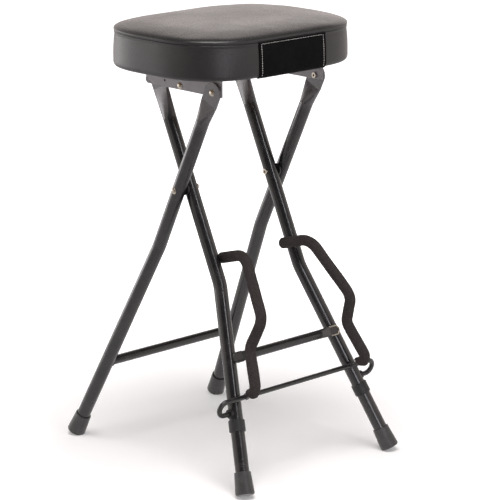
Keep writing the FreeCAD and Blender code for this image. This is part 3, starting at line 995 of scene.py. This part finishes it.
arm = {
    "pivot": (-0.13350, -0.15523, 0.120),  # left cradle pivot, on the axis of the leg
    "up": (0.0, 0.42079, 0.90716),  # up the leg, seen from the side
    "out": (0.0, -0.90716, 0.42079),  # out in front of it
    "rod": (0.01841, 0.0154),  # cross rod: up and out from the pivot
    "footIn": 0.016,
    "lowIn": 0.0095,
    "shoulderX": -0.0717,
    "tipX": -0.067,
    "outline": ((0.020, 0.050), (0.088, 0.046), (0.124, 0.084), (0.2312, 0.0585), (0.2400, 0.0)),
    "radii": (0.012, 0.020, 0.024, 0.028),
    "foamStart": 0.019,  # from the rod's axis
    "foamRadius": 0.0090,
    "wireRadius": 0.004,
    "slant": 0.0055,  # the lower end is cut aslant, back on the outside of the bend
    "slantRun": 0.026,
    "ragged": 0.0011,
    "lip": ((0.0043, 0.0010), (0.0050, 0.0001), (0.0066, -0.0003)),  # turned in to the wire: radius, place
    "flare": (0.0006, 0.005),  # at the cut end: height, reach
    "cutRound": (0.0011, 0.001),  # rounding of the cut edge, and of the one at the tip
    "tipRound": (0.0005, 0.0012),
    "skin": ((45, 0.00035), (190, 0.00012)),  # uneven skin: scale, height
    "tightBend": 0.020,  # radius from which a bend shows in full
    "puckerPitch": 0.0062,  # on the inside of the bends
    "pucker": 0.00028,
    "stretch": 0.0003,
    "sides": 36,
    "step": 0.0022,
}


def besideLeg(x, along, out):
    pivot, up, outward = (np.array(arm[name]) for name in ("pivot", "up", "out"))
    place = pivot + up * along + outward * out
    return np.array((x, place[1], place[2]))


def armCorners():
    pivotX = arm["pivot"][0]
    lowX = pivotX + arm["lowIn"]
    outline = arm["outline"]
    lean = (arm["shoulderX"] - lowX) / (outline[-2][0] - outline[0][0])
    corners = [besideLeg(pivotX + arm["footIn"], *arm["rod"])]
    corners += [besideLeg(lowX + lean * (along - outline[0][0]), along, out) for along, out in outline[:-1]]
    return corners + [besideLeg(arm["tipX"], *outline[-1])]


def roundedLine(corners, radii, spacing):
    # straight runs joined by arcs, as evenly spaced points, with the turn at each point
    line = [corners[0]]
    turns = [np.zeros(3)]

    def straightTo(end):
        start = line[-1]
        steps = max(1, round(np.linalg.norm(end - start) / spacing))
        for step in range(1, steps + 1):
            line.append(start + (end - start) * step / steps)
            turns.append(np.zeros(3))

    for corner, after, radius in zip(corners[1:-1], corners[2:], radii):
        back = unit(line[-1] - corner)
        ahead = unit(after - corner)
        half = (pi - acos(float(np.clip(back.dot(ahead), -1, 1)))) / 2
        inward = unit(back + ahead)
        along = unit(ahead - back)
        centre = corner + inward * (radius / cos(half))
        straightTo(corner + back * radius * tan(half))
        steps = max(2, round(2 * half * radius / spacing))
        for step in range(1, steps + 1):
            angle = -half + 2 * half * step / steps
            line.append(centre + radius * (along * sin(angle) - inward * cos(angle)))
            turns.append(inward / radius)
    straightTo(corners[-1])
    return np.array(line), np.array(turns)


def bell(place, height, reach):
    return height * exp(-(place / reach) ** 2)


def makeSleeve(name, side, seed):
    corners = armCorners()
    slant = arm["slant"]
    foamRadius = arm["foamRadius"]
    corners[0] = corners[0] + unit(corners[1] - corners[0]) * (arm["foamStart"] - slant)
    line, turns = roundedLine(corners, arm["radii"], arm["step"])
    for _ in range(6):
        turns[1:-1] = (turns[:-2] + 2 * turns[1:-1] + turns[2:]) / 4
    sides, ups = carryFrames(line)
    run = np.concatenate(([0], np.cumsum(np.linalg.norm(np.diff(line, axis=0), axis=1))))
    inside = np.array(arm["up"])
    count = arm["sides"]

    def along(values, place):
        return np.array([np.interp(place, run, values[:, axis]) for axis in range(3)])

    def outward(place, angle):
        return along(sides, place) * cos(angle) + along(ups, place) * sin(angle)

    def cutPlace(place, angle, share):
        # places near the lower end slide up the sleeve on the outside of the bend, unevenly
        away = 1 - share * float(outward(0.0, angle).dot(inside))
        torn = noise.noise(Vector((cos(angle) * 2.2 + seed, sin(angle) * 2.2, seed)))
        slide = slant * away + arm["ragged"] * share * torn
        return place + slide * max(0.0, 1 - place / arm["slantRun"])

    def skinPoint(index, angle):
        # uneven skin, puckered inside the bends and stretched outside them, flared and rounded at the cut end
        place = cutPlace(run[index], angle, 1.0)
        direction = outward(place, angle)
        turn = along(turns, place)
        centre = along(line, place)
        spot = Vector(centre + direction * foamRadius)
        tightness = float(np.linalg.norm(turn))
        inner = float(direction.dot(turn)) / tightness if tightness > 1e-6 else 0.0
        bent = min(1.0, tightness * arm["tightBend"])
        lift = 0.0
        for (scale, height), shift in zip(arm["skin"], ((seed, 0, 0), (0, seed, 0))):
            lift += height * noise.noise(spot * scale + Vector(shift))
        pucker = cos(2 * pi * place / arm["puckerPitch"] + 1.3 * sin(angle * 2))
        lift += bent * max(0.0, inner) ** 2 * (arm["pucker"] * pucker - arm["stretch"])
        lift -= bent * max(0.0, -inner) * arm["stretch"]
        lift += bell(run[index], *arm["flare"]) * (1 + noise.noise(spot * 140))
        lift -= bell(run[index], *arm["cutRound"])
        lift -= bell(run[-1] - run[index], *arm["tipRound"])
        return centre + direction * (foamRadius + lift)

    rings = []
    for radius, back in arm["lip"]:
        places = [(cutPlace(0.0, angle, radius / foamRadius) + back, angle) for angle in around(count)]
        rings.append([along(line, place) + outward(place, angle) * radius for place, angle in places])
    rings += [[skinPoint(index, angle) for angle in around(count)] for index in range(len(line))]
    points = [tuple(p) for p in np.array(rings).reshape(-1, 3)]
    faces = ringFaces(len(rings), count)
    faces.append(tuple(reversed(range(count))))
    faces.append(tuple(range(len(points) - count, len(points))))
    if side > 0:
        points, faces = mirrorPart((points, faces))
    return upright(makePiece(name, points, faces))


for side, word, seed in ((-1, "left", 3.1), (1, "right", 8.4)):
    sleeve = mount(makeSleeve("foamSleeve_" + word, side, seed), "guitar_cradle", "grip_foam")
    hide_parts("foam_sleeve_" + word)
print("foam sleeves:", len(sleeve.data.vertices), "points each")


# Welds, and the rolled rims of the front crossbar's flattened ends

welds = {
    "rearFoot": (-0.1589, 0.2109, 0.0),  # axis of the left rear leg, at the floor and at its bend
    "rearBend": (-0.1128, 0.0447, 0.346),
    "legRadius": 0.011,
    "barRadius": 0.0075,
    "beadRadius": 0.0017,
    "armBeadRadius": 0.0013,
    "lapLeg": (-0.11482, -0.12113, 0.1935),  # axis of the left front leg, where the crossbar is lapped on it
    "lapFace": 0.0139,  # front of the lap, out from that axis
    "lapHalf": 0.0080,
    "lapRoot": 0.017,
    "lapNose": 0.005,
    "lapSteps": (9, 24),  # along each edge, and round the nose
    "weldRimRadius": 0.0019,  # left end, run over with weld
    "highlightRimRadius": 0.0014,  # right end: bright nickel, a painted highlight along its edge
}


def bothSides(part):
    return joinParts([part, mirrorPart(part)])


def makeRearWelds():
    foot = np.array(welds["rearFoot"])
    rise = np.array(welds["rearBend"]) - foot
    low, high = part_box("rear_crossbar")
    height = (low.z + high.z) / 2
    place = foot + rise * (height - foot[2]) / rise[2]
    bar = (place, (1.0, 0.0, 0.0), welds["barRadius"])
    bead = weldBead(bar, (place, rise, welds["legRadius"]), welds["beadRadius"], 1.7)
    return makePiece("rearBarWelds", *bothSides(bead))


def makeArmWelds():
    corners = armCorners()
    wire = (corners[0], corners[1] - corners[0], arm["wireRadius"])
    rod = (corners[0], (1.0, 0.0, 0.0), arm["wireRadius"])
    return makePiece("armWelds", *bothSides(weldBead(wire, rod, welds["armBeadRadius"], 5.2)))


def lapRim(radius):
    # the rolled edge of the left flattened end: along the top, round the nose and back
    face = np.array(welds["lapLeg"]) + np.array(arm["out"]) * welds["lapFace"]
    half = welds["lapHalf"] - radius * 0.6
    nose = welds["lapNose"]
    reach = welds["lapRoot"] - nose
    edgeSteps, noseSteps = welds["lapSteps"]
    line = [(nose + reach * (1 - step / edgeSteps), half) for step in range(edgeSteps)]
    for step in range(noseSteps + 1):
        angle = pi * step / noseSteps
        line.append((nose - half * sin(angle), half * cos(angle)))
    line += [(nose + reach * step / edgeSteps, -half) for step in range(1, edgeSteps + 1)]
    up = np.array(arm["up"])
    return sweepWire([face + np.array((x, 0, 0)) + up * rise for x, rise in line], radius)


def makeWeldRim():
    return makePiece("lapWeld", *lapRim(welds["weldRimRadius"]))


def makeHighlightRim():
    return makePiece("lapHighlightRim", *mirrorPart(lapRim(welds["highlightRimRadius"])))


mount(upright(makeRearWelds()), "rear_frame", "black_paint")
mount(upright(makeArmWelds()), "guitar_cradle", "black_wire")
mount(upright(makeWeldRim()), "front_frame", "black_paint")
# painted highlight: the right end's rim is bright nickel, the left's is black paint
mount(upright(makeHighlightRim()), "front_frame", "nickel")
print("welds and rims placed")


# Staples that hold the cover under the board

staples = {
    "count": 34,
    "inset": 0.0145,
    "crown": 0.0095,
    "leg": 0.0030,
    "wire": 0.00045,
    "bend": 0.0008,
    "turn": 0.35,  # most that one is askew, in radians
    "step": 0.0005,
}


def makeStaples():
    parts = []
    wire = staples["wire"]
    height = seat["bottom"] - seat["coverThickness"] - wire * 0.6
    rise = np.array((0.0, 0.0, staples["leg"]))
    for index in range(staples["count"]):
        share = (index + 0.5) / staples["count"]
        x, y = seatRing(staples["inset"], share + staples["step"] * np.array((-1, 1)))
        middle = np.array((x.mean(), y.mean(), height))
        heading = atan2(y[1] - y[0], x[1] - x[0])
        heading += staples["turn"] * noise.noise(Vector((index * 1.37, 0.4, 2.0)))
        run = np.array((cos(heading), sin(heading), 0.0)) * staples["crown"] / 2
        corners = [middle - run + rise, middle - run, middle + run, middle + run + rise]
        line = roundedLine(corners, (staples["bend"],) * 2, staples["step"])[0]
        parts.append(sweepWire(line, wire, 8))
    return makePiece("coverStaples", *joinParts(parts))


mount(upright(makeStaples()), "seat", "nickel")
print("staples:", staples["count"])


# Floor, world and lamps

studio = {
    "floorSize": 12.0,
    "floorColour": (0.86, 0.86, 0.86, 1),
    "floorGlow": (0.18, 1.0),  # as the camera sees it: under the stool, and from the far distance out
    "glowReach": (0.26, 1.15),
    "away": (0.687, 0.727, 0.0),  # across the floor, away from the camera
    "paperEdge": (-1.9, -0.2),  # the white paper fades out here, along that direction
    "frontFloor": 0.07,
    "paper": (1.0, 0.965, 0.955, 1),
    "white": (1, 1, 1, 1),
    "wall": (1.0, 0.925, 0.89, 1),
    "overhead": (0.15, 0.145, 0.15, 1),
    "wallTop": (-0.12, 0.33),  # directions below this see a white wall: by the camera, elsewhere
    "darkSector": (-0.86, -0.60),  # how squarely a direction faces the camera's side, from dark to white
    "wallRise": 0.10,  # the wall rises further behind the stool
    "wallFade": 0.26,
    "lamps": (
        # name, place, width, height, power, colour
        ("overheadSoftbox", (-0.45, -0.55, 3.1), 1.7, 1.7, 74.0, (1.0, 0.96, 0.95)),
        ("leftSoftbox", (-1.30, 1.80, 0.50), 0.7, 0.7, 2.6, (1.0, 0.97, 1.0)),
        ("rearSoftbox", (-0.62, 2.30, 0.55), 1.4, 1.0, 12.5, (1.0, 0.97, 0.98)),
        ("backSoftbox", (2.10, 1.35, 1.35), 1.8, 0.9, 1.8, (1.0, 0.92, 0.88)),
        ("frontStrip", (-0.90, -2.86, 0.62), 0.95, 1.2, 17.0, (0.94, 0.92, 1.0)),
        ("frontHigh", (-0.27, -2.68, 2.10), 0.45, 0.45, 7.0, (0.95, 0.95, 1.0)),
    ),
    "aim": (0.0, 0.0, 0.4),
}


def awayFromCamera(tree, place):
    return vectorNode(tree, "DOT_PRODUCT", place, studio["away"])["Value"]


def makeFloor():
    half = studio["floorSize"] / 2
    floor = makePiece("studioFloor", [(-half, -half, 0), (half, -half, 0), (half, half, 0), (-half, half, 0)],
                      [(0, 1, 2, 3)])
    values = {"Base Color": studio["floorColour"], "Roughness": 0.9, "Specular IOR Level": 0.1}
    material, tree, shader = startMaterial("floorPaper", values)
    rays = addNode(tree, "LightPath").outputs
    place = objectPlace(tree)
    distance = addNode(tree, "VectorMath", {0: place}, operation="LENGTH").outputs["Value"]
    glow = mapRange(tree, distance, *studio["glowReach"], *studio["floorGlow"])
    glow = mathNode(tree, "MULTIPLY", glow, rays["Is Camera Ray"])
    direct = addNode(tree, "Emission", {"Color": studio["white"], "Strength": glow})
    paper = addNode(tree, "AddShader", {0: shader.outputs[0], 1: direct.outputs[0]})
    # reflections see the white paper, which ends a little way in front of the stool
    mirrored = mapRange(tree, awayFromCamera(tree, place), *studio["paperEdge"], studio["frontFloor"], 1.0)
    mirror = addNode(tree, "Emission", {"Color": studio["paper"], "Strength": mirrored})
    indirect = mathNode(tree, "MAXIMUM", rays["Is Glossy Ray"], rays["Is Transmission Ray"])
    both = addNode(tree, "MixShader", {0: indirect, 1: paper.outputs[0], 2: mirror.outputs[0]})
    tree.links.new(both.outputs[0], tree.nodes["Material Output"].inputs["Surface"])
    floor.data.materials.append(material)


def makeWorld():
    # white walls, high behind the stool and low on the camera's side, under a dark ceiling
    world = bpy.data.worlds.new("studio")
    bpy.context.scene.world = world
    world.use_nodes = True
    tree = world.node_tree
    shade = tree.nodes["Background"]
    direction = addNode(tree, "TexCoord").outputs["Generated"]
    away = awayFromCamera(tree, direction)
    behind = mathNode(tree, "MULTIPLY", mathNode(tree, "MAXIMUM", away, 0.0), studio["wallRise"])
    top = mapRange(tree, away, *studio["darkSector"], *studio["wallTop"])
    over = mathNode(tree, "SUBTRACT", upPart(tree, direction), mathNode(tree, "ADD", behind, top))
    climb = mapRange(tree, over, 0.0, studio["wallFade"])
    colour = mixColour(tree, climb, studio["wall"], studio["overhead"])
    rays = addNode(tree, "LightPath").outputs
    colour = mixColour(tree, rays["Is Camera Ray"], colour, studio["white"])
    tree.links.new(colour, shade.inputs["Color"])
    shade.inputs["Strength"].default_value = 1.0


def makeLamps():
    for name, place, width, height, power, colour in studio["lamps"]:
        lamp = bpy.data.lights.new(name, "AREA")
        lamp.shape = "RECTANGLE"
        lamp.size = width
        lamp.size_y = height
        lamp.energy = power
        lamp.color = colour
        placeAimed(name, lamp, place, studio["aim"]).visible_camera = False


makeFloor()
makeWorld()
makeLamps()
bpy.context.scene.view_settings.view_transform = "Standard"
print("studio:", len(studio["lamps"]), "lamps")
